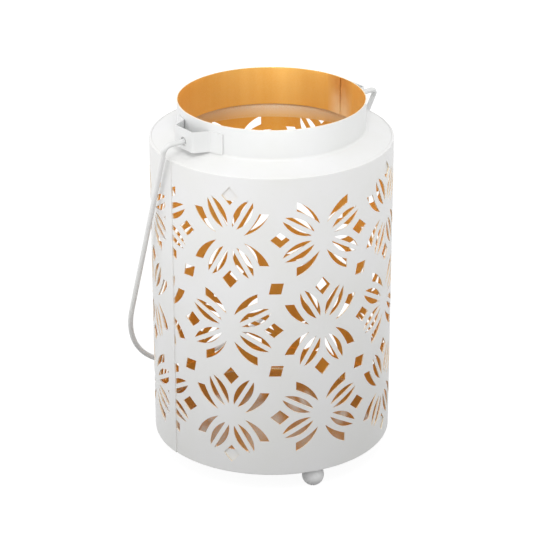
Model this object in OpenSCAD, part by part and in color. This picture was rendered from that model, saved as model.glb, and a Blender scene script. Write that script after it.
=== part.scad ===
// Pierced sheet-metal candle lantern with a swinging wire bail.
// The origin is on the lantern's axis at the surface that its feet stand on, +Z is up,
// X runs along the bail's pivot and the bail hangs down on the +Y side.

/* [Body] */
// Outside diameter of the pierced wall
body_d = 130; // [128:1:150]
// Height of the pierced wall
wall_h = 169.6; // [166:0.2:210]
// Thickness of the body, cap, neck and base sheet
sheet_t = 0.6; // [0.5:0.05:1]
// Slip between the wall and the two cups that are pushed into it
cup_slip = 0.1; // [0.05:0.05:0.2]
// Angle of the wall's lap seam around the axis
seam_angle = 179.1; // [150:0.1:185]
// Width of the solid margin at the seam's outer edge
seam_margin = 6.2; // [4:0.1:9]
// Angle over which the outer sheet rises onto the inner one
seam_ramp = 30; // [20:1:45]

/* [Shoulder cap] */
// How far the shoulder rises from its rounded edge to the neck
shoulder_rise = 3.2; // [1:0.1:5]
// Outside radius of the rounded edges of the cap and the base
cup_edge_r = 1.8; // [1.2:0.1:3]
// Height of the cap's skirt inside the wall
cap_skirt_h = 13.2; // [8:0.2:18]
// Flat land around the mouth, to which the neck is welded
neck_land = 1.4; // [1:0.1:2.5]

/* [Neck] */
// Outside diameter of the neck
neck_d = 100.2; // [96:0.2:106]
// Height of the neck above the shoulder
neck_h = 16.7; // [15.5:0.1:24]
// How far the neck reaches down through the cap's mouth
neck_drop = 4.6; // [2:0.1:8]

/* [Base] */
// Height of the base's rim inside the wall
base_rim_h = 13.4; // [8:0.2:18]

/* [Feet] */
// Diameter of each of the three ball feet
foot_d = 12; // [9:0.5:15]
// Radius of the circle on which the feet sit
foot_circle_r = 57.4; // [48:0.2:58.5]
// Angle of the first foot around the axis
foot_angle = 14.4; // [0:0.1:30]
// Depth of the flat where a foot meets the base
foot_seat = 0.5; // [0.3:0.1:1]
// Depth of the flat on which a foot stands
foot_flat = 0.4; // [0.2:0.1:0.8]

/* [Bail brackets] */
// Width of the bent strip, up the neck
strip_w = 11.2; // [9:0.1:12]
// Thickness of the strip
strip_t = 0.8; // [0.6:0.05:1]
// Height of the strip's lower edge above the shoulder
strip_lift = 1.2; // [0.8:0.1:2]
// How far the strip's face stands off the neck
strip_depth = 7.8; // [6.2:0.1:8.4]
// Width of the strip's flat face
face_w = 15.8; // [12:0.1:17]
// Distance across the two inner bends, measured around the neck
bend_span = 21.4; // [19:0.2:25]
// Distance across the ends of the two tabs, measured around the neck
tab_span = 38.6; // [32:0.2:46]
// Gap left for a weld, at the tabs and around the neck
weld_gap = 0.05; // [0.02:0.01:0.1]

/* [Bail] */
// Diameter of the bail's wire
wire_d = 2.8; // [2:0.1:3.4]
// Radial clearance of the wire in a bracket's hole
hole_clear = 0.9; // [0.3:0.1:1.1]
// Height of the pivot above the strip's lower edge
pivot_lift = 4.4; // [3.6:0.1:6]
// How far the wire's outer bends stand out from the wall
bail_overhang = 6; // [4.5:0.1:9]
// Distance from the pivot to the middle of the bail's bow
bail_reach = 178.8; // [160:0.2:180]
// Angle by which each leg leans in towards the bow
leg_taper = 3.7; // [1:0.1:5]
// Bend radius of the wire, on its centre line, at each end
wire_bend_r = 3.4; // [3:0.1:8]
// How far the wire's end goes in past the bracket's face
wire_grip = 3.4; // [2.8:0.1:4]
// How far the bail sits off centre within its end play, towards +X
bail_play = 1.6; // [0:0.1:1.8]
// Clearance between the hanging bail and the wall
rest_clear = 0.4; // [0.3:0.1:2]

/* [Pierced pattern] */
// Distance between columns of flowers, measured around the wall
flower_pitch = 49.3; // [48.6:0.1:56]
// Distance between rows of flowers
row_pitch = 50.9; // [50:0.1:56]
// Angle of one column of flowers around the axis
column_angle = -17.3; // [-30:0.1:30]
// How far the pattern's middle sits above the wall's middle
pattern_lift = 0.3; // [-2:0.1:2]
// Least plain band between the pattern and the wall's edges
plain_band = 4; // [2:0.5:8]
// Leaf: distance of its middle from the flower's centre, across
leaf_u = 6.9; // [6.6:0.1:7.4]
// Leaf: distance of its middle from the flower's centre, along
leaf_v = 13.4; // [13:0.1:13.8]
// Leaf: lean of its rib
leaf_lean = 60.4; // [58:0.2:62]
// Leaf: radius of its two arcs
leaf_arc_r = 15; // [14.2:0.1:15.4]
// Leaf: full width
leaf_w = 8.4; // [7.4:0.1:8.6]
// Leaf: width of the solid rib that splits it
rib_w = 2.4; // [1.6:0.1:3]
// Horn: distance of its middle from the flower's centre, across
horn_u = 15.2; // [14.8:0.1:15.6]
// Horn: distance of its middle from the flower's centre, along
horn_v = 9.4; // [9:0.1:9.8]
// Horn: radius of its outer arc
horn_out_r = 20.7; // [20.5:0.1:20.8]
// Horn: how far the outer arc's centre lies inwards from its middle
horn_out_in = 13.9; // [13.8:0.1:14.1]
// Horn: how far the outer arc's centre lies above its middle
horn_out_up = 12.4; // [12.3:0.1:12.6]
// Horn: radius of its inner arc
horn_in_r = 40.2; // [39.9:0.1:40.4]
// Horn: how far the inner arc's centre lies inwards from its middle
horn_in_in = 36.7; // [36.5:0.1:37]
// Horn: how far the inner arc's centre lies above its middle
horn_in_up = 20.4; // [20:0.1:20.8]
// Horn: how far its blunt end lies above its middle
horn_end_up = 5.1; // [4:0.1:5.4]
// Diamond: distance from the flower's centre
diamond_v = 23.1; // [22.8:0.1:23.4]
// Diamond: length along the flower
diamond_l = 10.2; // [8:0.1:10.6]
// Diamond: width across the flower
diamond_w = 8.7; // [6:0.1:9]
// Square between four flowers: width
square_w = 6.5; // [4.5:0.1:6.8]
// Square: height
square_h = 6.4; // [4.5:0.1:6.6]
// Square: how far its sides lean, per millimetre of height
square_lean = 0.22; // [0:0.01:0.24]
// Square: how far it sits above or below the middle between the rows, by turns
square_shift = 1.8; // [0:0.1:2]
// Square: how far it sits aside from the middle between the columns
square_aside = -0.4; // [-1:0.1:1]

/* [Hidden] */
$fn = 96;
body_r = body_d / 2;
wall_in_r = body_r - sheet_t;
cup_r = wall_in_r - cup_slip;
neck_r = neck_d / 2;
neck_in_r = neck_r - sheet_t;
land_r = neck_r + neck_land;
foot_step = 360 / 3;

// Heights, from the surface that the feet stand on.
base_z = foot_d - foot_seat - foot_flat;
wall_z = base_z + cup_edge_r / 2;
wall_top_z = wall_z + wall_h;
cap_edge_z = wall_top_z + cup_edge_r / 2;
shoulder_z = cap_edge_z + shoulder_rise;
strip_z = shoulder_z + strip_lift;
pivot_z = strip_z + pivot_lift;

// Bracket plan, with its face square to +X.
face_x = neck_r + strip_depth;
tab_r = neck_r + weld_gap;
bend_angle = bend_span / 2 / neck_r * 180 / PI;
foot_turn = bend_angle + strip_t / neck_r * 180 / PI;
tab_angle = tab_span / 2 / neck_r * 180 / PI;

// Bail centre line in its own plane: across from the middle, down from the pivot.
// The wire is a hair thicker where it is bent, and its straight lengths run into the bends.
wire_r = wire_d / 2;
bend_swell = 0.02;
wire_lap = 0.1;
bail_half = body_r + bail_overhang;
bend_x = bail_half - wire_bend_r;
leg_x = bend_x + wire_bend_r * cos(leg_taper);
leg_drop = wire_bend_r + wire_bend_r * sin(leg_taper);
bow_share = (1 - sin(leg_taper)) / cos(leg_taper);
leg_l = (bail_reach - leg_drop - leg_x * bow_share)
    / (cos(leg_taper) - sin(leg_taper) * bow_share);
bow_r = (leg_x - leg_l * sin(leg_taper)) / cos(leg_taper);
bow_drop = bail_reach - bow_r;
end_x = face_x - wire_grip;
bail_tilt = asin((body_r + sheet_t + rest_clear + wire_r) / bail_reach);

// Pattern grid on the sheet, which runs from the seam's edge round to its plain margin.
// A column's middle may lie past an end of the sheet by a share of the step between columns.
column_step = arc_deg(flower_pitch);
sheet_from = seam_angle - 360;
sheet_to = seam_angle - arc_deg(seam_margin);
past_end = 0.36;
column_from = ceil((sheet_from - column_angle) / column_step - past_end);
column_to = floor((sheet_to - column_angle) / column_step + past_end);
diamond_reach = diamond_v + diamond_l / 2;
rows = 1 + floor((wall_h - 2 * abs(pattern_lift) - 2 * plain_band - 2 * diamond_reach) / row_pitch);
middle_z = wall_z + wall_h / 2 + pattern_lift;
cut_over = 1;
punch_l = 2 * (2 * sheet_t + cut_over);

function row_z(row) = middle_z + (row - (rows - 1) / 2) * row_pitch;
function column_at(column) = column_angle + column * column_step;
function square_at(column) = column_at(column + 0.5) + arc_deg(square_aside);
function is_even(row, column) = (row + column) % 2 == 0;
function square_z(row, column) = row_z(row + 0.5) + (is_even(row, column) ? -1 : 1) * square_shift;
function arc_deg(length) = length / body_r * 180 / PI;
function arc(centre, r, from, to, steps = 8) =
    [for (i = [0:steps]) let (a = from + (to - from) * i / steps) centre + r * [cos(a), sin(a)]];

// Sector from the axis, between two angles.
module sector(from, to, r) {
    polygon([[0, 0], for (a = [from, (from + to) / 2, to]) r * [cos(a), sin(a)]]);
}

// Pushes an outline through the wall at an angle and height.
module punch(angle, z) {
    rotate([0, 0, angle])
        translate([body_r - punch_l / 2, 0, z])
            rotate([90, 0, 90])
                linear_extrude(punch_l) children();
}

// Keeps the holes at an angle off the seam, where they would run past an end of the sheet.
module on_sheet(angle) {
    reach = arc_deg(diamond_reach);
    from = max(sheet_from, angle - 2 * reach);
    to = min(sheet_to, angle + 2 * reach);
    if (angle - reach < sheet_from || angle + reach > sheet_to)
        intersection() {
            children();
            translate([0, 0, wall_z]) linear_extrude(wall_h) sector(from, to, 2 * body_r);
        }
    else
        children();
}

// Split leaf about its own middle.
module leaf() {
    sink = leaf_arc_r - leaf_w / 2;
    rotate(leaf_lean)
        difference() {
            intersection() {
                translate([0, -sink]) circle(leaf_arc_r);
                translate([0, sink]) circle(leaf_arc_r);
            }
            square([4 * leaf_w, rib_w], center = true);
        }
}

// Horn beside the leaf, about its own middle.
module horn() {
    difference() {
        translate([-horn_out_in, horn_out_up]) circle(horn_out_r);
        translate([-horn_in_in, horn_in_up]) circle(horn_in_r);
        translate([-2 * horn_in_r, horn_end_up]) square(4 * horn_in_r);
    }
}

// Square with leaning sides.
module leaning_square() {
    lean = square_lean * square_h / 2;
    top = [[square_w / 2 + lean, square_h / 2], [lean - square_w / 2, square_h / 2]];
    polygon(concat(top, -top));
}

// One flower: four quarters of a leaf and a horn, with a diamond at each end.
// A turned flower lies on its side.
module flower(angle, z, turned) {
    for (su = [-1, 1], sv = [-1, 1]) {
        quarter(angle, z, turned, su, sv, [leaf_u, leaf_v]) leaf();
        quarter(angle, z, turned, su, sv, [horn_u, horn_v]) horn();
    }
    for (sv = [-1, 1])
        quarter(angle, z, turned, 1, sv, [0, diamond_v])
            polygon([[diamond_w / 2, 0], [0, diamond_l / 2], [-diamond_w / 2, 0], [0, -diamond_l / 2]]);
}

// Mirrors an outline into one quarter of a flower and punches it at its own place.
module quarter(angle, z, turned, su, sv, at) {
    u = turned ? sv * at[1] : su * at[0];
    v = turned ? su * at[0] : sv * at[1];
    punch(angle + arc_deg(u), z + v)
        mirror(turned ? [1, -1, 0] : [0, 0, 0])
            scale([su, sv])
                children();
}

// All the holes of the wall.
module pattern() {
    for (row = [0:rows - 1], column = [column_from:column_to])
        on_sheet(column_at(column))
            flower(column_at(column), row_z(row), is_even(row, column));
    for (row = [0:1:rows - 2], column = [column_from:column_to - 1])
        punch(square_at(column), square_z(row, column)) leaning_square();
}

// Plan of the rolled wall with its lap.
module wall_plan() {
    lift = sheet_t / sin(seam_ramp);
    lift_angle = seam_angle - seam_ramp + 90;
    difference() {
        union() {
            circle(body_r);
            intersection() {
                translate(lift * [cos(lift_angle), sin(lift_angle)]) circle(body_r);
                sector(seam_angle - seam_ramp, seam_angle, 2 * body_r);
            }
        }
        circle(wall_in_r);
    }
}

module body_shell() {
    color("white")
        difference() {
            translate([0, 0, wall_z]) linear_extrude(wall_h) wall_plan();
            pattern();
        }
}

// Stamped cap: a gently sloping shoulder with a rounded edge and a skirt.
module shoulder_cap() {
    edge = [cup_r - cup_edge_r, cap_edge_z - cup_edge_r];
    slope = atan(shoulder_rise / (edge[0] - land_r));
    inner_r = cup_edge_r - sheet_t;
    mouth_r = neck_r + weld_gap;
    color("white")
        rotate_extrude()
            polygon(concat(
                [[mouth_r, shoulder_z], [land_r, shoulder_z]],
                arc(edge, cup_edge_r, 90 - slope, 0),
                [[cup_r, wall_top_z - cap_skirt_h], [cup_r - sheet_t, wall_top_z - cap_skirt_h]],
                arc(edge, inner_r, 0, 90 - slope),
                [[land_r, shoulder_z - sheet_t], [mouth_r, shoulder_z - sheet_t]]));
}

// Rolled collar that is let into the cap's mouth.
module neck_ring() {
    collar_h = neck_drop + neck_h;
    color("white")
        translate([0, 0, shoulder_z - neck_drop])
            difference() {
                cylinder(r = neck_r, h = collar_h);
                translate([0, 0, -cut_over]) cylinder(r = neck_in_r, h = collar_h + 2 * cut_over);
            }
}

// Stamped base: a flat floor with a rounded edge and an upright rim.
module base_pan() {
    edge = [cup_r - cup_edge_r, base_z + cup_edge_r];
    inner_r = cup_edge_r - sheet_t;
    color("goldenrod")
        rotate_extrude()
            polygon(concat(
                [[0, base_z]],
                arc(edge, cup_edge_r, -90, 0),
                [[cup_r, wall_z + base_rim_h], [cup_r - sheet_t, wall_z + base_rim_h]],
                arc(edge, inner_r, 0, -90),
                [[0, base_z + sheet_t]]));
}

// Ball with a flat where it meets the base and one where it stands.
module ball_foot(number) {
    centre_z = foot_d / 2 - foot_flat;
    color("white")
        rotate([0, 0, foot_angle + foot_step * number])
            translate([foot_circle_r, 0, 0])
                intersection() {
                    translate([0, 0, centre_z]) sphere(d = foot_d);
                    translate([-foot_d, -foot_d, 0]) cube([2 * foot_d, 2 * foot_d, base_z]);
                }
}

// Plan of a bracket: a hat with slanted sides, and a tab on the neck at each side.
module bracket_plan() {
    foot_out = (tab_r + strip_t) * [cos(foot_turn), sin(foot_turn)];
    foot_in = tab_r * [cos(bend_angle), sin(bend_angle)];
    face_turn = atan2(face_x - foot_out[0], foot_out[1] - face_w / 2);
    inner = [face_x - strip_t, face_w / 2 - strip_t * tan(face_turn / 2)];
    half = [[face_x, face_w / 2], foot_out, foot_in, inner];
    polygon(concat(half, [for (i = [3:-1:0]) [half[i][0], -half[i][1]]]));
    for (side = [-1, 1])
        difference() {
            intersection() {
                circle(tab_r + strip_t);
                sector(side * bend_angle, side * tab_angle, 2 * neck_r);
            }
            circle(tab_r);
        }
}

// Strip bent into a hat and welded to the neck, with a hole for the wire.
module bracket(side) {
    color("white")
        rotate([0, 0, side])
            difference() {
                translate([0, 0, strip_z])
                    linear_extrude(strip_w) bracket_plan();
                translate([face_x - 2 * strip_t, 0, pivot_z])
                    rotate([0, 90, 0]) cylinder(r = wire_r + hole_clear, h = 3 * strip_t);
            }
}

// Arc of wire in the bail's plane.
module wire_arc(r, from, to) {
    rotate([90, 0, 0])
        rotate([0, 0, to])
            rotate_extrude(angle = from - to)
                translate([r, 0]) circle(wire_r + bend_swell);
}

// End, bend and leg on one side of the bail.
module bail_side() {
    translate([end_x, 0, 0])
        rotate([0, 90, 0]) cylinder(r = wire_r, h = bend_x - end_x + wire_lap);
    translate([bend_x, 0, -wire_bend_r]) wire_arc(wire_bend_r, -leg_taper, 90);
    translate([leg_x, 0, -leg_drop])
        rotate([0, 180 + leg_taper, 0])
            translate([0, 0, -wire_lap]) cylinder(r = wire_r, h = leg_l + 2 * wire_lap);
}

// Wire bail, hanging against the wall.
module bail_handle() {
    color("white")
        translate([bail_play, 0, pivot_z])
            rotate([bail_tilt, 0, 0]) {
                bail_side();
                mirror([1, 0, 0]) bail_side();
                translate([0, 0, -bow_drop]) wire_arc(bow_r, leg_taper - 180, -leg_taper);
            }
}

body_shell();
shoulder_cap();
neck_ring();
base_pan();
ball_foot(0);  // foot_right
ball_foot(1);  // foot_back
ball_foot(2);  // foot_front
bracket(0);  // bracket_right
bracket(180);  // bracket_left
bail_handle();
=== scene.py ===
# %% [markdown]
# # A pierced metal candle lantern
# The real lantern is thin sheet metal: a rolled wall with flower cut-outs, a stamped cap and base
# that are pushed into it, a collar around the mouth, three ball feet and one bent wire to carry it
# by. It is painted white outside and gold inside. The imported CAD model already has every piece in
# its right place, so this lesson starts from it and works on what CAD leaves out: paint, soft
# bends, welds and light.

# %% Load the CAD model
import math

import bmesh
import bpy
from mathutils import Euler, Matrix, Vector


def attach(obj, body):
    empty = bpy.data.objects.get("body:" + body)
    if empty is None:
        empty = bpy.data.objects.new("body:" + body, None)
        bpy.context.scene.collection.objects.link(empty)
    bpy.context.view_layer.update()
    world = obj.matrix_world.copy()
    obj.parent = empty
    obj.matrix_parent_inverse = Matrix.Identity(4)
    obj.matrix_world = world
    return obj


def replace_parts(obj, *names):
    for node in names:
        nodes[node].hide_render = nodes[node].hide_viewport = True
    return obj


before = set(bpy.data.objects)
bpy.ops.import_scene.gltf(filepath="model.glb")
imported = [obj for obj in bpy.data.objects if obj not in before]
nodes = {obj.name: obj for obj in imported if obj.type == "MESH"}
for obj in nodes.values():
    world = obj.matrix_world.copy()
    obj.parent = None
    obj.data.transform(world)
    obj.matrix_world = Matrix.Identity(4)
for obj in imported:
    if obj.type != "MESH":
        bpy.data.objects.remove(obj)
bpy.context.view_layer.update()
MM = 0.001

# %% [markdown]
# ## The camera
# A product photographer stands back and uses a long lens, so that upright edges stay almost
# parallel. The place, the tilt and the lens were worked out from the ellipses of the rim, the
# shoulder and the base. Blender's camera looks down its own -Z, so a level camera is turned up
# by a right angle about X, and then turned about Z to face the lantern.

# %% Place the camera
camera_data = bpy.data.cameras.new("product_camera")
camera_data.sensor_width = 36
camera_data.lens = 149.07
camera = bpy.data.objects.new("product_camera", camera_data)
camera.location = (-0.7084, -0.8938, 0.6077)
camera_heading = math.radians(51.4675)
camera_tilt = math.radians(24.0375)
camera.rotation_euler = Euler((math.pi / 2 - camera_tilt, 0, camera_heading - math.pi / 2))
scene = bpy.context.scene
scene.collection.objects.link(camera)
scene.camera = camera
print("Camera stands", round(camera.location.length, 2), "m from the lantern's foot")

# %% [markdown]
# ## A light tent
# White paint on a white ground shows its shape only by soft shading. A tent of white cloth gives
# that. Here the world is the tent: its sides are a little brighter than its roof, so the upright
# wall isn't left much darker than the shoulder. A direction's height, the Z of the Generated
# coordinate, fades from one level to the other.

# %% Light the tent
SIDE_LEVEL = 1.14
ROOF_LEVEL = 0.74
scene.view_settings.view_transform = "Standard"
world = bpy.data.worlds.new("light_tent")
scene.world = world
world.use_nodes = True
tent = world.node_tree
tent.nodes.clear()


def add_node(tree, kind, at=(0, 0), **settings):
    """A new node at a place in the node editor, with its settings."""
    made = tree.nodes.new(kind)
    made.location = at
    for name, value in settings.items():
        setattr(made, name, value)
    return made


def join(tree, source, target):
    """A link from an output to an input."""
    tree.links.new(source, target)


def remap(tree, value, at, low, high, to_low=0.0, to_high=1.0):
    """A value between low and high, stretched to run from to_low to to_high."""
    made = add_node(tree, "ShaderNodeMapRange", at)
    for socket, number in zip(made.inputs[1:5], (low, high, to_low, to_high)):
        socket.default_value = number
    join(tree, value, made.inputs["Value"])
    return made.outputs["Result"]


tent_way = add_node(tent, "ShaderNodeTexCoord", (-640, 0))
tent_split = add_node(tent, "ShaderNodeSeparateXYZ", (-460, 0))
tent_light = add_node(tent, "ShaderNodeBackground", (-60, 0))
tent_light.inputs["Color"].default_value = (1, 1, 1, 1)
tent_out = add_node(tent, "ShaderNodeOutputWorld", (160, 0))
join(tent, tent_way.outputs["Generated"], tent_split.inputs[0])
tent_level = remap(tent, tent_split.outputs["Z"], (-280, 0), 0, 1, SIDE_LEVEL, ROOF_LEVEL)
join(tent, tent_level, tent_light.inputs["Strength"])
join(tent, tent_light.outputs[0], tent_out.inputs[0])
print("Tent: sides", SIDE_LEVEL, "roof", ROOF_LEVEL)

# %% [markdown]
# ## Two soft boxes and a snoot
# The tent alone is flat. A box to the left makes that side of the wall a touch brighter, and one
# high in front lifts the shoulder. A snoot, a spot lamp with a narrow tube, shines over the near
# rim onto the gold at the back of the mouth and on nothing else. Lamps are placed from where the
# photographer stands: aside to the right, ahead away from the camera.

# %% Hang the soft boxes
view_side = Vector((math.sin(camera_heading), -math.cos(camera_heading), 0))
view_ahead = Vector((math.cos(camera_heading), math.sin(camera_heading), 0))


def studio_spot(aside, ahead, height):
    """A place in the studio, in metres from the lantern's foot as the camera sees it."""
    return view_side * aside + view_ahead * ahead + Vector((0, 0, height))


def hang(name, kind, power, place, aim):
    """A lamp at one place, turned to another."""
    lamp = bpy.data.objects.new(name, bpy.data.lights.new(name, kind))
    lamp.data.energy = power
    lamp.location = place
    lamp.rotation_euler = (aim - place).to_track_quat("-Z", "Y").to_euler()
    lamp.visible_camera = False
    scene.collection.objects.link(lamp)
    print(name, "hangs", round(place.z, 2), "m up")
    return lamp.data


side_box = hang("side_box", "AREA", 0.5,
                studio_spot(-0.5, -0.25, 0.35), studio_spot(0, 0, 0.16))
side_box.size = 0.30
front_box = hang("front_box", "AREA", 2.2,
                 studio_spot(0.05, -0.50, 0.92), studio_spot(0, 0, 0.12))
front_box.size = 0.35
snoot = hang("snoot", "SPOT", 25.0,
             studio_spot(0.02, -0.86, 0.560), studio_spot(0.004, 0.057, 0.189))
snoot.spot_size = math.radians(3.3)
snoot.spot_blend = 0.6
snoot.shadow_soft_size = 0.03

# %% [markdown]
# ## The ground
# The photograph's ground is plain white. The lantern stands on a small sheet of paper, one flat
# face, that belongs to the stage and not to the lantern.

# %% Lay the paper
PAPER_HALF = 0.35
paper_mesh = bpy.data.meshes.new("studio_paper")
paper_mesh.from_pydata(
    [(-PAPER_HALF, -PAPER_HALF, 0), (PAPER_HALF, -PAPER_HALF, 0),
     (PAPER_HALF, PAPER_HALF, 0), (-PAPER_HALF, PAPER_HALF, 0)], [], [(0, 1, 2, 3)])
studio_paper = bpy.data.objects.new("studio_paper", paper_mesh)
scene.collection.objects.link(studio_paper)
print("Paper is", 2 * PAPER_HALF, "m wide")

# %% [markdown]
# The paper looks white to the camera, with the faintest trace of a shadow. For the light that
# bounces it is dark, as a black mat under a product is, and this is what lets the wall fade towards
# its foot. The Light Path node tells the rays apart. Backfacing makes the paper clear from below, so
# that the underside can be looked at too.

# %% Colour the paper
PAPER_GREY = 0.15
PAPER_GLOW = 0.93
white_paper = bpy.data.materials.new("white_paper")
white_paper.use_nodes = True
paper = white_paper.node_tree
paper.nodes.clear()
paper_matt = add_node(paper, "ShaderNodeBsdfDiffuse", (0, 0))
paper_matt.inputs["Color"].default_value = (PAPER_GREY, PAPER_GREY, PAPER_GREY, 1)
paper_glow = add_node(paper, "ShaderNodeEmission", (0, -140))
paper_glow.inputs["Color"].default_value = (1, 1, 1, 1)
paper_glow.inputs["Strength"].default_value = PAPER_GLOW
paper_both = add_node(paper, "ShaderNodeAddShader", (200, -80))
paper_seen = add_node(paper, "ShaderNodeMixShader", (400, 0))
paper_clear = add_node(paper, "ShaderNodeBsdfTransparent", (400, -160))
paper_side = add_node(paper, "ShaderNodeMixShader", (600, 0))
paper_face = add_node(paper, "ShaderNodeNewGeometry", (400, 260))
paper_out = add_node(paper, "ShaderNodeOutputMaterial", (800, 0))
paper_path = add_node(paper, "ShaderNodeLightPath", (-560, 260))
paper_first = add_node(paper, "ShaderNodeMath", (-380, 260), operation="MAXIMUM")
paper_any = add_node(paper, "ShaderNodeMath", (-200, 260), operation="MAXIMUM")
join(paper, paper_path.outputs["Is Camera Ray"], paper_first.inputs[0])
join(paper, paper_path.outputs["Is Glossy Ray"], paper_first.inputs[1])
join(paper, paper_first.outputs[0], paper_any.inputs[0])
join(paper, paper_path.outputs["Is Transmission Ray"], paper_any.inputs[1])
join(paper, paper_matt.outputs[0], paper_both.inputs[0])
join(paper, paper_glow.outputs[0], paper_both.inputs[1])
join(paper, paper_any.outputs[0], paper_seen.inputs[0])
join(paper, paper_matt.outputs[0], paper_seen.inputs[1])
join(paper, paper_both.outputs[0], paper_seen.inputs[2])
join(paper, paper_face.outputs["Backfacing"], paper_side.inputs[0])
join(paper, paper_seen.outputs[0], paper_side.inputs[1])
join(paper, paper_clear.outputs[0], paper_side.inputs[2])
join(paper, paper_side.outputs[0], paper_out.inputs[0])
paper_mesh.materials.append(white_paper)
print("Paper glows at", PAPER_GLOW)

# %% [markdown]
# ## Tools for paint
# Sprayed paint is never one flat colour. Its tone drifts, its skin has the fine dimples that
# painters call orange peel, and it is thin on edges. These effects are shared by several paints,
# so each one is a node group that puts out a colour, a roughness or a height.

# %% Node group helpers
def shader_group(name, *outputs):
    """An empty node group with the named outputs: its tree, its end and its coordinates."""
    tree = bpy.data.node_groups.new(name, "ShaderNodeTree")
    for label in outputs:
        kind = "NodeSocketColor" if "Color" in label else "NodeSocketFloat"
        tree.interface.new_socket(label, in_out="OUTPUT", socket_type=kind)
    end = add_node(tree, "NodeGroupOutput", (900, 0))
    place = add_node(tree, "ShaderNodeTexCoord", (-900, 0)).outputs["Object"]
    return tree, end, place


def noise(tree, place, at, scale, detail=2.0):
    """Cloudy values around a half. A scale of 1000 has clouds of about a millimetre."""
    made = add_node(tree, "ShaderNodeTexNoise", at)
    made.inputs["Scale"].default_value = scale
    made.inputs["Detail"].default_value = detail
    join(tree, place, made.inputs["Vector"])
    return made.outputs["Fac"]


def mix_colours(tree, factor, at, first, second):
    """Two colours, each a tuple or an output, mixed by a factor."""
    made = add_node(tree, "ShaderNodeMix", at, data_type="RGBA")
    join(tree, factor, made.inputs["Factor"])
    for socket, colour in ((made.inputs[6], first), (made.inputs[7], second)):
        if isinstance(colour, tuple):
            socket.default_value = (*colour, 1)
        else:
            join(tree, colour, socket)
    return made.outputs[2]


def calculate(tree, operation, at, first, second):
    """Arithmetic on two values, each a number or an output."""
    made = add_node(tree, "ShaderNodeMath", at, operation=operation)
    for socket, value in zip(made.inputs, (first, second)):
        if isinstance(value, (int, float)):
            socket.default_value = value
        else:
            join(tree, value, socket)
    return made.outputs[0]


# %% [markdown]
# The first group is the edge mask. The Bevel node finds edges: near an edge it bends the normal, and
# the dot product with the true normal drops below 1. A noise makes the mask patchy, because paint
# creeps back from an edge unevenly.

# %% Edge mask
EDGE_REACH = 0.35 * MM
edge_group, edge_end, edge_place = shader_group("edge_mask", "Mask")
edge_bend = add_node(edge_group, "ShaderNodeBevel", (-700, 200), samples=6)
edge_bend.inputs["Radius"].default_value = EDGE_REACH
edge_true = add_node(edge_group, "ShaderNodeNewGeometry", (-700, 0))
edge_dot = add_node(edge_group, "ShaderNodeVectorMath", (-480, 120), operation="DOT_PRODUCT")
join(edge_group, edge_bend.outputs[0], edge_dot.inputs[0])
join(edge_group, edge_true.outputs["Normal"], edge_dot.inputs[1])
edge_near = remap(edge_group, edge_dot.outputs["Value"], (-280, 120), 0.99, 0.85)
edge_patch = noise(edge_group, edge_place, (-480, -160), 260, 3)
edge_patchy = remap(edge_group, edge_patch, (-280, -160), 0.4, 0.6, 0.25, 1)
edge_worn = calculate(edge_group, "MULTIPLY", (200, 0), edge_near, edge_patchy)
join(edge_group, edge_worn, edge_end.inputs["Mask"])
print("Edges show", EDGE_REACH / MM, "mm wide")

# %% [markdown]
# Every paint is then put together in the same way: a film, which is a node group, feeds what varies
# to the Principled BSDF, and its height goes through a Bump node.

# %% Paint helpers
BUMP_DEPTH = 0.1 * MM


def edges_of(tree, at):
    """The edge mask, for use in another group."""
    return add_node(tree, "ShaderNodeGroup", at, node_tree=edge_group).outputs["Mask"]


def painted(name, film, peel, **fixed):
    """A material whose Principled BSDF takes what varies from a film and the rest from fixed."""
    made = bpy.data.materials.new(name)
    made.use_nodes = True
    tree = made.node_tree
    shader = tree.nodes["Principled BSDF"]
    group = add_node(tree, "ShaderNodeGroup", (-620, 0), node_tree=film)
    for socket in group.outputs:
        if socket.name != "Height":
            join(tree, socket, shader.inputs[socket.name])
    bump = add_node(tree, "ShaderNodeBump", (-260, -260))
    bump.inputs["Strength"].default_value = peel
    bump.inputs["Distance"].default_value = BUMP_DEPTH
    join(tree, group.outputs["Height"], bump.inputs["Height"])
    join(tree, bump.outputs[0], shader.inputs["Normal"])
    for label, value in fixed.items():
        shader.inputs[label.replace("_", " ").title()].default_value = value
    print(name, "is painted with", film.name)
    return made


# %% [markdown]
# ## White paint
# The outside is a satin white powder coat. It drifts between two whites that are hardly apart, its
# skin is dimpled at about a millimetre, rare nibs of dust sit in it, and on the edges of the sheet
# it is thin, so a creamier tone comes through. Above the collar's foot a greyer white is painted in
# as painted shade on the collar and its brackets, so the tone steps down with height there.

# %% White paint
WHITE_SHEET = (0.80, 0.80, 0.80), (0.78, 0.78, 0.765)
# Painted shade: a greyer white for the collar, its brackets and all else above the collar's foot.
WHITE_PAINTED_SHADE = (0.73, 0.735, 0.735), (0.71, 0.715, 0.705)
PAINTED_SHADE_STEP = 0.1855, 0.1875
DUST = 0.62, 0.60, 0.56
THIN_PAINT = 0.83, 0.78, 0.69
white_film, white_end, white_place = shader_group(
    "white_film", "Base Color", "Roughness", "Height")
white_cloud = noise(white_film, white_place, (-700, 300), 38, 3)
white_drift = remap(white_film, white_cloud, (-480, 300), 0.35, 0.65)
white_sheet = mix_colours(white_film, white_drift, (-260, 400), *WHITE_SHEET)
white_painted_shade = mix_colours(white_film, white_drift, (-260, 200), *WHITE_PAINTED_SHADE)
white_split = add_node(white_film, "ShaderNodeSeparateXYZ", (-700, 500))
join(white_film, white_place, white_split.inputs[0])
painted_shade_step = remap(white_film, white_split.outputs["Z"], (-480, 500), *PAINTED_SHADE_STEP)
# Mix in the painted shade above the collar's foot.
white_tone = mix_colours(white_film, painted_shade_step, (-60, 400), white_sheet, white_painted_shade)
white_peel = noise(white_film, white_place, (-700, 0), 900, 1)
white_grain = noise(white_film, white_place, (-700, -200), 3600, 0)
white_dust = noise(white_film, white_place, (-700, -400), 420, 0)
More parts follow.
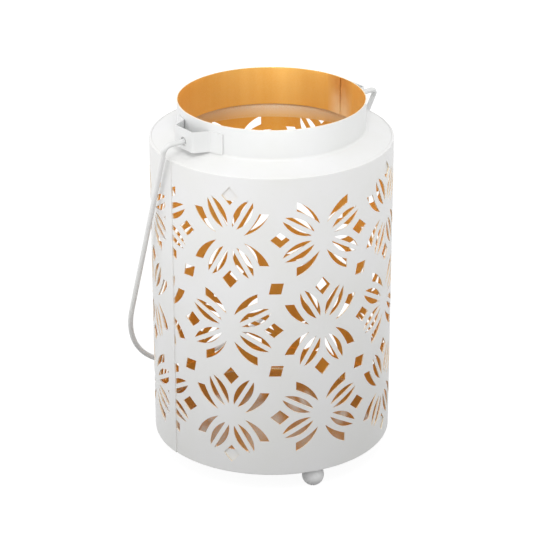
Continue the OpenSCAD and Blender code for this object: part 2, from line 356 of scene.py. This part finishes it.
white_nib = remap(white_film, white_dust, (-480, -400), 0.80, 0.84)
white_faint = calculate(white_film, "MULTIPLY", (-260, -300), white_nib, 0.08)
white_dusty = mix_colours(white_film, white_faint, (0, 200), white_tone, DUST)
white_edges = edges_of(white_film, (-260, -120))
white_thin = calculate(white_film, "MULTIPLY", (0, -200), white_edges, 0.5)
white_all = mix_colours(white_film, white_thin, (300, 200), white_dusty, THIN_PAINT)
white_satin = remap(white_film, white_grain, (300, 0), 0.3, 0.7, 0.36, 0.46)
white_bumps = calculate(white_film, "ADD", (300, -200), white_peel, white_nib)
join(white_film, white_all, white_end.inputs["Base Color"])
join(white_film, white_satin, white_end.inputs["Roughness"])
join(white_film, white_bumps, white_end.inputs["Height"])
white_paint = painted("white_paint", white_film, 0.10)

# %% [markdown]
# ## Gold paint
# The inside is sprayed with metallic gold lacquer: fine flakes in a clear binder. Flakes make the
# colour glitter from grain to grain, and the spray leaves upright streaks where the gun passed,
# which is a noise that is stretched along Z. The coat is heaviest near the mouth, where the gun
# goes in, so the gold is paler and yellower there than deep inside.

# %% Gold paint
GOLD_DEEP = (1.0, 0.55, 0.09), (1.0, 0.60, 0.12)
GOLD_MOUTH = (0.90, 0.53, 0.12), (0.94, 0.58, 0.15)
MOUTH_FADE = 0.160, 0.190
FLAKE = 1.0, 0.80, 0.46
THIN_GOLD = 0.94, 0.80, 0.60
gold_film, gold_end, gold_place = shader_group(
    "gold_film", "Base Color", "Metallic", "Roughness", "Height")
gold_squeeze = add_node(gold_film, "ShaderNodeMapping", (-700, 400))
gold_squeeze.inputs["Scale"].default_value = (1, 1, 0.06)
join(gold_film, gold_place, gold_squeeze.inputs["Vector"])
gold_pass = noise(gold_film, gold_squeeze.outputs[0], (-500, 400), 130, 2)
gold_streak = remap(gold_film, gold_pass, (-300, 400), 0.35, 0.65)
gold_split = add_node(gold_film, "ShaderNodeSeparateXYZ", (-700, 150))
join(gold_film, gold_place, gold_split.inputs[0])
gold_top = remap(gold_film, gold_split.outputs["Z"], (-500, 150), *MOUTH_FADE)
gold_deep = mix_colours(gold_film, gold_streak, (-100, 300), *GOLD_DEEP)
gold_mouth = mix_colours(gold_film, gold_streak, (-100, 100), *GOLD_MOUTH)
gold_tone = mix_colours(gold_film, gold_top, (120, 200), gold_deep, gold_mouth)
gold_flake = add_node(gold_film, "ShaderNodeTexVoronoi", (-700, -150))
gold_flake.inputs["Scale"].default_value = 2600
join(gold_film, gold_place, gold_flake.inputs["Vector"])
gold_shade = add_node(gold_film, "ShaderNodeSeparateColor", (-500, -150))
join(gold_film, gold_flake.outputs["Color"], gold_shade.inputs[0])
gold_glint = calculate(gold_film, "MULTIPLY", (-300, -150), gold_shade.outputs[0], 0.14)
gold_mixed = mix_colours(gold_film, gold_glint, (340, 200), gold_tone, FLAKE)
gold_rim = calculate(gold_film, "MULTIPLY", (340, 0), edges_of(gold_film, (120, 0)), 0.6)
gold_all = mix_colours(gold_film, gold_rim, (560, 200), gold_mixed, THIN_GOLD)
gold_metal = remap(gold_film, gold_shade.outputs[1], (340, -120), 0, 1, 0.62, 0.78)
gold_satin = remap(gold_film, gold_pass, (340, -300), 0.3, 0.7, 0.36, 0.44)
join(gold_film, gold_all, gold_end.inputs["Base Color"])
join(gold_film, gold_metal, gold_end.inputs["Metallic"])
join(gold_film, gold_satin, gold_end.inputs["Roughness"])
join(gold_film, gold_shade.outputs[2], gold_end.inputs["Height"])
gold_paint = painted("gold_paint", gold_film, 0.03)

# %% [markdown]
# ## Cut edges
# The holes were punched first and painted later, so white from outside and gold from inside meet on
# their edges. A noise mixes a pale and a darker cream.

# %% Cut edges
EDGE_CREAMS = (0.90, 0.82, 0.68), (0.86, 0.70, 0.47)
edge_film, edge_film_end, edge_film_place = shader_group(
    "edge_film", "Base Color", "Roughness", "Height")
edge_fleck = noise(edge_film, edge_film_place, (-700, 200), 700, 3)
edge_share = remap(edge_film, edge_fleck, (-480, 200), 0.4, 0.6)
edge_tone = mix_colours(edge_film, edge_share, (-200, 200), *EDGE_CREAMS)
edge_rough = remap(edge_film, edge_fleck, (-200, 0), 0.3, 0.7, 0.40, 0.58)
edge_grain = noise(edge_film, edge_film_place, (-700, -100), 1800, 1)
join(edge_film, edge_tone, edge_film_end.inputs["Base Color"])
join(edge_film, edge_rough, edge_film_end.inputs["Roughness"])
join(edge_film, edge_grain, edge_film_end.inputs["Height"])
cut_edge = painted("cut_edge", edge_film, 0.15)

# %% [markdown]
# ## Overspray
# The hidden side of the cap only caught gold mist over white, a speckled beige. It turns to gold
# towards the cap's lower edge, so the height fades one colour into the other.

# %% Overspray
MIST = (0.96, 0.89, 0.76), (0.94, 0.83, 0.66)
MIST_GOLD = 0.93, 0.64, 0.27
MIST_DROP = 0.93, 0.68, 0.38
MIST_FADE = 0.1755, 0.1695
mist_film, mist_end, mist_place = shader_group(
    "mist_film", "Base Color", "Roughness", "Height")
mist_cloud = noise(mist_film, mist_place, (-700, 300), 60, 3)
mist_drop = noise(mist_film, mist_place, (-700, 0), 1500, 1)
mist_fine = remap(mist_film, mist_drop, (-480, 0), 0.42, 0.62, 0.0, 0.5)
mist_drift = remap(mist_film, mist_cloud, (-480, 300), 0.35, 0.65)
mist_base = mix_colours(mist_film, mist_drift, (-200, 300), *MIST)
mist_split = add_node(mist_film, "ShaderNodeSeparateXYZ", (-700, 550))
join(mist_film, mist_place, mist_split.inputs[0])
mist_low = remap(mist_film, mist_split.outputs["Z"], (-480, 550), *MIST_FADE)
mist_fade = mix_colours(mist_film, mist_low, (0, 400), mist_base, MIST_GOLD)
mist_all = mix_colours(mist_film, mist_fine, (200, 200), mist_fade, MIST_DROP)
mist_rough = remap(mist_film, mist_drop, (100, 0), 0.3, 0.7, 0.34, 0.50)
join(mist_film, mist_all, mist_end.inputs["Base Color"])
join(mist_film, mist_rough, mist_end.inputs["Roughness"])
join(mist_film, mist_drop, mist_end.inputs["Height"])
overspray = painted("overspray", mist_film, 0.10)

# %% [markdown]
# ## Painted glint at the weld
# Where the collar's ends were welded, the gold is painted with a glint: pale below, as painted
# highlight, and browner above. Height sets the tint, a noise makes it uneven, and it fades out to
# both sides of the weld.

# %% Painted glint at the weld
# Pale below is painted highlight, fading to a darker brown above.
WELD_GLINT_TINTS = (1.0, 0.80, 0.50), (0.80, 0.44, 0.13)
WELD_PLAIN = 0.93, 0.58, 0.17
WELD_HEIGHTS = 0.184, 0.198
WELD_Y = 0.0015
WELD_FADE = 0.0100, 0.0035
weld_glint_film, weld_end, weld_place = shader_group(
    "weld_glint_film", "Base Color", "Roughness", "Height")
weld_split = add_node(weld_glint_film, "ShaderNodeSeparateXYZ", (-700, 300))
join(weld_glint_film, weld_place, weld_split.inputs[0])
weld_up = remap(weld_glint_film, weld_split.outputs["Z"], (-480, 300), *WELD_HEIGHTS)
weld_cloud = noise(weld_glint_film, weld_place, (-700, 0), 160, 3)
weld_uneven = remap(weld_glint_film, weld_cloud, (-480, 0), 0.3, 0.7, -0.15, 0.15)
weld_glint_rise = calculate(weld_glint_film, "ADD", (-260, 200), weld_up, weld_uneven)
weld_off = calculate(weld_glint_film, "SUBTRACT", (-480, 500), weld_split.outputs["Y"], WELD_Y)
weld_aside = calculate(weld_glint_film, "ABSOLUTE", (-260, 500), weld_off, 0)
weld_near = remap(weld_glint_film, weld_aside, (-60, 500), *WELD_FADE)
weld_glint_tone = mix_colours(weld_glint_film, weld_glint_rise, (0, 200), *WELD_GLINT_TINTS)
weld_tone = mix_colours(weld_glint_film, weld_near, (200, 200), WELD_PLAIN, weld_glint_tone)
weld_satin = remap(weld_glint_film, weld_cloud, (0, 0), 0.3, 0.7, 0.34, 0.42)
weld_grain = noise(weld_glint_film, weld_place, (-260, -200), 1500, 1)
join(weld_glint_film, weld_tone, weld_end.inputs["Base Color"])
join(weld_glint_film, weld_satin, weld_end.inputs["Roughness"])
join(weld_glint_film, weld_grain, weld_end.inputs["Height"])
weld_glint_gold = painted("weld_glint_gold", weld_glint_film, 0.03, metallic=0.7)

# %% [markdown]
# ## The floor of the base
# The floor is shiny metal under a thin brown lacquer, so it mirrors the gold wall around it. A low
# roughness and a high metallic value do that, and both drift a little.

# %% Floor of the base
TRAY_BROWNS = (0.58, 0.53, 0.47), (0.48, 0.43, 0.37)
tray_film, tray_end, tray_place = shader_group(
    "tray_film", "Base Color", "Metallic", "Roughness", "Height")
tray_cloud = noise(tray_film, tray_place, (-700, 300), 45, 4)
tray_drift = remap(tray_film, tray_cloud, (-480, 300), 0.3, 0.7)
tray_tone = mix_colours(tray_film, tray_drift, (-200, 300), *TRAY_BROWNS)
tray_fine = noise(tray_film, tray_place, (-700, 0), 1200, 2)
tray_shine = remap(tray_film, tray_cloud, (-200, 100), 0.3, 0.7, 0.85, 0.95)
tray_gloss = remap(tray_film, tray_fine, (-200, -100), 0.3, 0.7, 0.12, 0.20)
join(tray_film, tray_tone, tray_end.inputs["Base Color"])
join(tray_film, tray_shine, tray_end.inputs["Metallic"])
join(tray_film, tray_gloss, tray_end.inputs["Roughness"])
join(tray_film, tray_fine, tray_end.inputs["Height"])
tray_metal = painted("tray_metal", tray_film, 0.02)

# %% [markdown]
# ## Paint on the CAD pieces
# The wall, the cap, the base and the bail are right as CAD has them, so they keep their meshes and
# only get paint. A sheet has two sides: which paint a face takes is told by the way it faces, out
# from the axis or in to it, and the narrow faces between are the punched edges.

# %% Coat the wall, the cap, the base and the bail
LAP_R = 65.02
FLOOR_TOP_Z = 13


def coat(piece, choose, *paints):
    """Gives each face the paint that choose picks for its radius, height and facing."""
    mesh = piece.data
    mesh.materials.clear()
    for paint in paints:
        mesh.materials.append(paint)
    for face in mesh.polygons:
        at = face.center
        r = math.hypot(at.x, at.y)
        out = (face.normal.x * at.x + face.normal.y * at.y) / max(r, 1e-9)
        face.material_index = choose(r / MM, at.z / MM, out, face.normal.z)
    print("Coated", piece.name)


def wall_paint(r, z, out, up):
    if out > 0.7 or abs(up) > 0.95 or r > LAP_R:
        return 0
    return 1 if out < -0.7 else 2


def cap_paint(r, z, out, up):
    return 0 if out > 0.3 or up > 0.3 else 1


def base_paint(r, z, out, up):
    if out > 0.3 or up < -0.3:
        return 0
    return 1 if up > 0.3 and z < FLOOR_TOP_Z else 2


def one_paint(r, z, out, up):
    return 0


coat(nodes["body_shell"], wall_paint, white_paint, gold_paint, cut_edge)
coat(nodes["shoulder_cap"], cap_paint, white_paint, overspray)
coat(nodes["base_pan"], base_paint, white_paint, tray_metal, gold_paint)
coat(nodes["bail_handle"], one_paint, white_paint)

# %% [markdown]
# ## Turned pieces
# Rings and balls can be made as on a lathe: an outline of radius and height is spun about an axis.
# A helper rounds the outline's corners first, because a real sheet has no knife edges and the thin
# bright line on a rim comes from its rounding. The outline runs anticlockwise, so that the faces
# look outwards.

# %% Lathe helpers
def fillet(before, corner, after, radius, steps):
    """The points of the arc that rounds one corner of a path."""
    back = (before - corner).normalized()
    on = (after - corner).normalized()
    half = back.angle(on) / 2
    centre = corner + (back + on).normalized() * (radius / math.sin(half))
    first = corner + back * (radius / math.tan(half)) - centre
    last = corner + on * (radius / math.tan(half)) - centre
    start = math.atan2(first.y, first.x)
    turn = (math.atan2(last.y, last.x) - start + math.pi) % (2 * math.pi) - math.pi
    angles = [start + turn * i / steps for i in range(steps + 1)]
    return [centre + radius * Vector((math.cos(a), math.sin(a))) for a in angles]


def rounded(corners, steps=5):
    """A closed outline of (x, y, rounding radius) with its corners rounded."""
    points = [Vector(c[:2]) for c in corners]
    outline = []
    for i, (x, y, radius) in enumerate(corners):
        if radius:
            after = points[(i + 1) % len(points)]
            outline += fillet(points[i - 1], points[i], after, radius, steps)
        else:
            outline.append(points[i])
    return outline


def new_piece(name, corners, faces, body="lantern"):
    """A smooth mesh from corners in mm, riding on a body."""
    mesh = bpy.data.meshes.new(name)
    mesh.from_pydata([Vector(c) * MM for c in corners], [], faces)
    work = bmesh.new()
    work.from_mesh(mesh)
    bmesh.ops.remove_doubles(work, verts=work.verts, dist=1e-7)
    work.to_mesh(mesh)
    work.free()
    mesh.shade_smooth()
    mesh.set_sharp_from_angle(angle=math.radians(38))
    piece = bpy.data.objects.new(name, mesh)
    scene.collection.objects.link(piece)
    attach(piece, body)
    print("Made", name, "with", len(mesh.polygons), "faces")
    return piece


def lathe(name, outline, turns=288, axis=(0, 0)):
    """An outline of (radius, height) in mm, spun about an upright axis."""
    count = len(outline)
    corners = []
    for k in range(turns):
        a = 2 * math.pi * k / turns
        for r, z in outline:
            corners.append((axis[0] + r * math.cos(a), axis[1] + r * math.sin(a), z))
    faces = []
    for k in range(turns):
        here, there = k * count, (k + 1) % turns * count
        for i in range(count):
            j = (i + 1) % count
            faces.append((here + i, there + i, there + j, here + j))
    return new_piece(name, corners, faces)


# %% [markdown]
# ## The collar
# The collar is a strip that was rolled into a ring and let down through the cap's mouth. Its rim
# was rounded by tumbling before it was painted. White covers the outside, gold the inside, and the
# two meet on the rim.

# %% The collar's ring
NECK_R = 50.1
NECK_IN = 49.5
RIM_Z = 202.4
NECK_FOOT_Z = 181.1
FOOT_ROUND = 0.2
RIM_ROUND = 0.26


def collar_paint(r, z, out, up):
    if abs(up) > 0.5:
        return 2
    return 0 if out > 0 else 1


neck_outline = rounded([
    (NECK_R, NECK_FOOT_Z, FOOT_ROUND), (NECK_R, RIM_Z, RIM_ROUND),
    (NECK_IN, RIM_Z, RIM_ROUND), (NECK_IN, NECK_FOOT_Z, FOOT_ROUND)])
neck = lathe("collar_ring", neck_outline)
coat(neck, collar_paint, white_paint, gold_paint, cut_edge)
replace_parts(neck, "neck_ring")

# %% [markdown]
# The strip's ends overlap inside the mouth and are spot-welded there. The upper end stands off by
# its own thickness, so its edge shows as a dark upright line with a small nick near its top. The
# lower end wasn't rolled quite round: it is a flat, and the flat catches the light. Both are thin
# plates with a section that is given as angle around the mouth and height above its inside.

# %% The collar's lap
LAP_EDGE = 2.5
LAP_END = 15
LAP_RISE = 0.67
LAP_NICK_Z = 195.9
LAP_LEVELS = 30
FLAT_FROM = -10
FLAT_TO = 3.5
FLAT_RISE = 0.38
SUNK = 0.05


def upper_end(z):
    """Section of the end that lies on top, with an open gap below its edge."""
    edge = LAP_EDGE + 0.8 * math.exp(-((z - LAP_NICK_Z) / 0.6) ** 2)
    slope = [(edge + (LAP_END - edge) * i / 10, LAP_RISE * (1 - i / 10) ** 1.4 - SUNK)
             for i in range(11)]
    return [(edge + 2.5, -2 * SUNK), (edge, 0.26)] + slope + [(LAP_END, -2 * SUNK)]


def lower_end(z):
    """Section of the end that lies below, a flat chord of the round mouth."""
    flat = [(FLAT_FROM + (FLAT_TO - FLAT_FROM) * i / 14, FLAT_RISE * (1 - (i / 7 - 1) ** 2) - SUNK)
            for i in range(15)]
    return [(FLAT_FROM, -2 * SUNK)] + flat + [(FLAT_TO, -2 * SUNK)]


def upright_plate(name, section):
    """A plate on the collar's inside, built level by level from its section."""
    corners, faces = [], []
    for level in range(LAP_LEVELS + 1):
        z = NECK_FOOT_Z + 0.1 + (RIM_Z - 0.4 - NECK_FOOT_Z) * level / LAP_LEVELS
        for angle, rise in section(z):
            a = math.radians(angle)
            corners.append(((NECK_IN - rise) * math.cos(a), (NECK_IN - rise) * math.sin(a), z))
    count = len(section(0))
    for level in range(LAP_LEVELS):
        for i in range(count):
            here, there = level * count + i, level * count + (i + 1) % count
            faces.append((there, here, here + count, there + count))
    faces.append(tuple(range(count)))
    faces.append(tuple(range((LAP_LEVELS + 1) * count - 1, LAP_LEVELS * count - 1, -1)))
    plate = new_piece(name, corners, faces)
    # The plates take the gold with the painted glint at the weld.
    plate.data.materials.append(weld_glint_gold)


upright_plate("collar_lap_upper", upper_end)
upright_plate("collar_lap_lower", lower_end)

# %% [markdown]
# ## Paint in the joints
# The cap and the base are pushed into the wall, and the paint runs into the groove that is left
# between the two rounded edges. Two thin rings of paint fill it, so that from outside the wall
# turns into the shoulder without a gap. A third ring is the fillet of weld and paint around the
# collar's foot.

# %% Paint beads
CAP_GROOVE = [(64.1, 180.2, 0), (64.98, 181.45, 0.1), (64.75, 181.95, 0.25),
              (63.75, 182.2, 0), (63.9, 181.4, 0)]
BASE_GROOVE = [(63.9, 12.2, 0), (63.75, 11.4, 0), (64.75, 11.65, 0.25),
               (64.98, 12.15, 0.1), (64.1, 13.4, 0)]
BEAD_IN = 50.0
BEAD_LOW = 185.0
BEAD_TOP = 187.2
HOLLOW_R = 1.5
HOLLOW_AT = 51.65
collar_fillet = [Vector((BEAD_IN, BEAD_LOW)), Vector((51.75, BEAD_LOW))]
for i in range(9):
    a = math.radians(90 - 11 * i)
    collar_fillet.append(Vector((HOLLOW_AT - HOLLOW_R * math.cos(a),
                                 BEAD_TOP - HOLLOW_R * math.sin(a))))
collar_fillet.append(Vector((BEAD_IN, BEAD_TOP)))
for bead in (lathe("cap_paint_bead", rounded(CAP_GROOVE)),
             lathe("base_paint_bead", rounded(BASE_GROOVE)),
             lathe("collar_paint_bead", collar_fillet)):
    coat(bead, one_paint, white_paint)

# %% [markdown]
# ## Feet
# Each foot is a ball with a flat where it stands. It was welded on, so a small fillet of weld metal
# joins it to the base. The paint covers both, so ball and weld can be one turned outline.

# %% Ball feet
FOOT_R = 6.0
FOOT_CIRCLE = 57.4
FOOT_TURN = 14.4
FOOT_FLAT = 0.4
BASE_Z = 11.1
WELD_R = 3.4
WELD_FLARE = 0.35
foot_centre_z = FOOT_R - FOOT_FLAT
arc_from = math.acos(foot_centre_z / FOOT_R) - math.pi / 2
arc_to = math.acos((WELD_R - WELD_FLARE) / FOOT_R)
foot_outline = [Vector((0, 0))]
for i in range(41):
    a = arc_from + (arc_to - arc_from) * i / 40
    foot_outline.append(Vector((FOOT_R * math.cos(a), foot_centre_z + FOOT_R * math.sin(a))))
ball_top = foot_outline[-1].y
for i in range(1, 7):
    a = math.radians(15 * i)
    foot_outline.append(Vector((WELD_R + WELD_FLARE - 2 * WELD_FLARE * math.cos(a),
                                ball_top + (BASE_Z - ball_top) * math.sin(a))))
foot_outline.append(Vector((0, BASE_Z)))
for number, foot_name in enumerate(("foot_right", "foot_back", "foot_front")):
    spot = math.radians(FOOT_TURN + 120 * number)
    foot = lathe(foot_name + "_ball", foot_outline, 96,
                 (FOOT_CIRCLE * math.cos(spot), FOOT_CIRCLE * math.sin(spot)))
    coat(foot, one_paint, white_paint)
    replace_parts(foot, foot_name)

# %% [markdown]
# ## Brackets
# A bracket is one strip of sheet that was bent four times into a hat and welded to the collar by
# its two brims. CAD has its bends sharp. Here the middle line of one half of the strip is drawn as a
# path, and the bends are rounded as a press brake leaves them.

# %% The strip's path
STRIP_T = 0.8
STRIP_Z = 186.9
STRIP_TOP = 198.1
FACE_X = 57.9
FACE_HALF = 7.9
BEND_R = 1.3
HOLE_R = 2.3
HOLE_Z = 191.3
TAB_R = 50.15
TAB_FROM = math.radians(12.7)
TAB_TO = math.radians(22.07)
TAB_ROUND = 0.8
TAB_SHARES = (0.3, 0.4, 0.5, 0.6, 0.7, 0.8, 0.9, 0.94, 0.975, 1.0)
PATCH = 4.5
FACE_STEP = 5.6
strip_mid = FACE_X - STRIP_T / 2
tab_mid = TAB_R + STRIP_T / 2
corner_out = Vector((strip_mid, FACE_HALF - 0.25))
corner_in = Vector((tab_mid * math.cos(TAB_FROM), tab_mid * math.sin(TAB_FROM)))
tab_points = []
for share in TAB_SHARES:
    a = TAB_FROM + (TAB_TO - TAB_FROM) * share
    tab_points.append(Vector((tab_mid * math.cos(a), tab_mid * math.sin(a))))
half_path = [Vector((strip_mid, PATCH)), Vector((strip_mid, FACE_STEP))]
half_path += fillet(half_path[-1], corner_out, corner_in, BEND_R, 8)
half_path += fillet(corner_out, corner_in, tab_points[0], BEND_R, 8)
half_path += tab_points
half_run = [0.0]
for a, b in zip(half_path, half_path[1:]):
    half_run.append(half_run[-1] + (b - a).length)
print("Half a strip is", round(half_run[-1] + PATCH, 1), "mm long")

# %% [markdown]
# The strip has two skins, one to each side of the path. A wing is a grid of points that follows the
# path. The middle of the face is a patch of rings that shrink from a rectangle to the wire's hole, so
# no boolean is needed.

# %% Points of the strip
STRIP_ROWS = 8
PATCH_COLUMNS = 6
RING_SHARES = (0.0, 0.5, 0.8, 1.0)


def sides_of(path):
    """The direction across a path at each of its points, away from the lantern."""
    ways = []
    for i in range(len(path)):
        on = path[min(i + 1, len(path) - 1)] - path[max(i - 1, 0)]
        ways.append(Vector((on.y, -on.x)).normalized())
    return ways


half_sides = sides_of(half_path)


def strip_ends(i):
    """Lowest and highest point of the strip at a step of its path, with rounded tab corners."""
    left = half_run[-1] - half_run[i]
    cut = 0.0
    if left < TAB_ROUND:
        cut = TAB_ROUND - math.sqrt(max(0.0, TAB_ROUND ** 2 - (TAB_ROUND - left) ** 2))
    return STRIP_Z + cut, STRIP_TOP - cut


def even_steps(low, high, count):
    return [low + (high - low) * j / count for j in range(count + 1)]


def wing_points(side, offset):
    """The grid of one skin of a wing, from the patch to the end of the tab."""
    grid = []
    for i, (at, across) in enumerate(zip(half_path, half_sides)):
        spot = at + across * offset
        grid.append([(spot.x, side * spot.y, z) for z in even_steps(*strip_ends(i), STRIP_ROWS)])
    return grid


def patch_points(offset):
    """The rings of one skin of the patch, from its border to the wire's hole."""
    high = even_steps(STRIP_Z, STRIP_TOP, STRIP_ROWS)
    wide = even_steps(-PATCH, PATCH, PATCH_COLUMNS)
    border = [(PATCH, z) for z in high[:-1]] + [(y, STRIP_TOP) for y in reversed(wide[1:])]
    border += [(-PATCH, z) for z in reversed(high[1:])] + [(y, STRIP_Z) for y in wide[:-1]]
    rings = []
    for share in RING_SHARES:
        ring = []
        for y, z in border:
            a = math.atan2(z - HOLE_Z, y)
            hole_y, hole_z = HOLE_R * math.cos(a), HOLE_Z + HOLE_R * math.sin(a)
            ring.append((strip_mid + offset, y + (hole_y - y) * share, z + (hole_z - z) * share))
        rings.append(ring)
    return rings


# %% [markdown]
# Points that a wing and the patch share become one corner, so that the strip closes up. Then come
# the faces of both skins, the narrow faces along the strip's edges and the wall of the hole. A small
# Bevel modifier breaks the sharp edges, as tumbling does.

# %% Build the brackets
EDGE_BREAK = 0.09 * MM


def bracket(name, turn, node):
    """A bracket, turned about the lantern's axis, in place of a CAD node."""
    corners, faces, index = [], [], {}

    def corner(point):
        key = tuple(round(v, 5) for v in point)
        if key not in index:
            x, y, z = point
            index[key] = len(corners)
            corners.append((x * math.cos(turn) - y * math.sin(turn),
                            x * math.sin(turn) + y * math.cos(turn), z))
        return index[key]

    outer, inner = STRIP_T / 2, -STRIP_T / 2
    skins = {}
    for offset in (outer, inner):
        flip = offset == inner
        for side in (1, -1):
            grid = [[corner(p) for p in row] for row in wing_points(side, offset)]
            skins[side, offset] = grid
            for i in range(len(grid) - 1):
                for j in range(STRIP_ROWS):
                    quad = (grid[i][j], grid[i + 1][j], grid[i + 1][j + 1], grid[i][j + 1])
                    faces.append(quad if (side == 1) != flip else quad[::-1])
        rings = [[corner(p) for p in ring] for ring in patch_points(offset)]
        skins["hole", offset] = rings
        for near, far in zip(rings, rings[1:]):
            for k in range(len(near)):
                m = (k + 1) % len(near)
                quad = (near[k], near[m], far[m], far[k])
                faces.append(quad[::-1] if flip else quad)
    for side in (1, -1):
        front, back = skins[side, outer], skins[side, inner]
        last = len(front) - 1
        rim = [(front[i][0], back[i][0]) for i in range(last)]
        rim += [(front[last][j], back[last][j]) for j in range(STRIP_ROWS)]
        rim += [(front[i][STRIP_ROWS], back[i][STRIP_ROWS]) for i in range(last, -1, -1)]
        for (a, b), (c, d) in zip(rim, rim[1:]):
            faces.append((a, b, d, c) if side == 1 else (c, d, b, a))
    front, back = skins["hole", outer], skins["hole", inner]
    for k in range(len(front[-1])):
        m = (k + 1) % len(front[-1])
        faces.append((front[-1][k], front[-1][m], back[-1][m], back[-1][k]))
    upper = range(STRIP_ROWS, STRIP_ROWS + PATCH_COLUMNS)
    lower = range(2 * STRIP_ROWS + PATCH_COLUMNS, len(front[0]))
    for k in [*upper, *lower]:
        m = (k + 1) % len(front[0])
        faces.append((front[0][m], front[0][k], back[0][k], back[0][m]))
    piece = new_piece(name, corners, faces)
    soften = piece.modifiers.new("soft_edges", "BEVEL")
    soften.width = EDGE_BREAK
    soften.segments = 2
    soften.limit_method = "ANGLE"
    soften.angle_limit = math.radians(50)
    coat(piece, one_paint, white_paint)
    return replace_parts(piece, node)


bracket("hat_bracket_right", 0.0, "bracket_right")
bracket("hat_bracket_left", math.pi, "bracket_left")
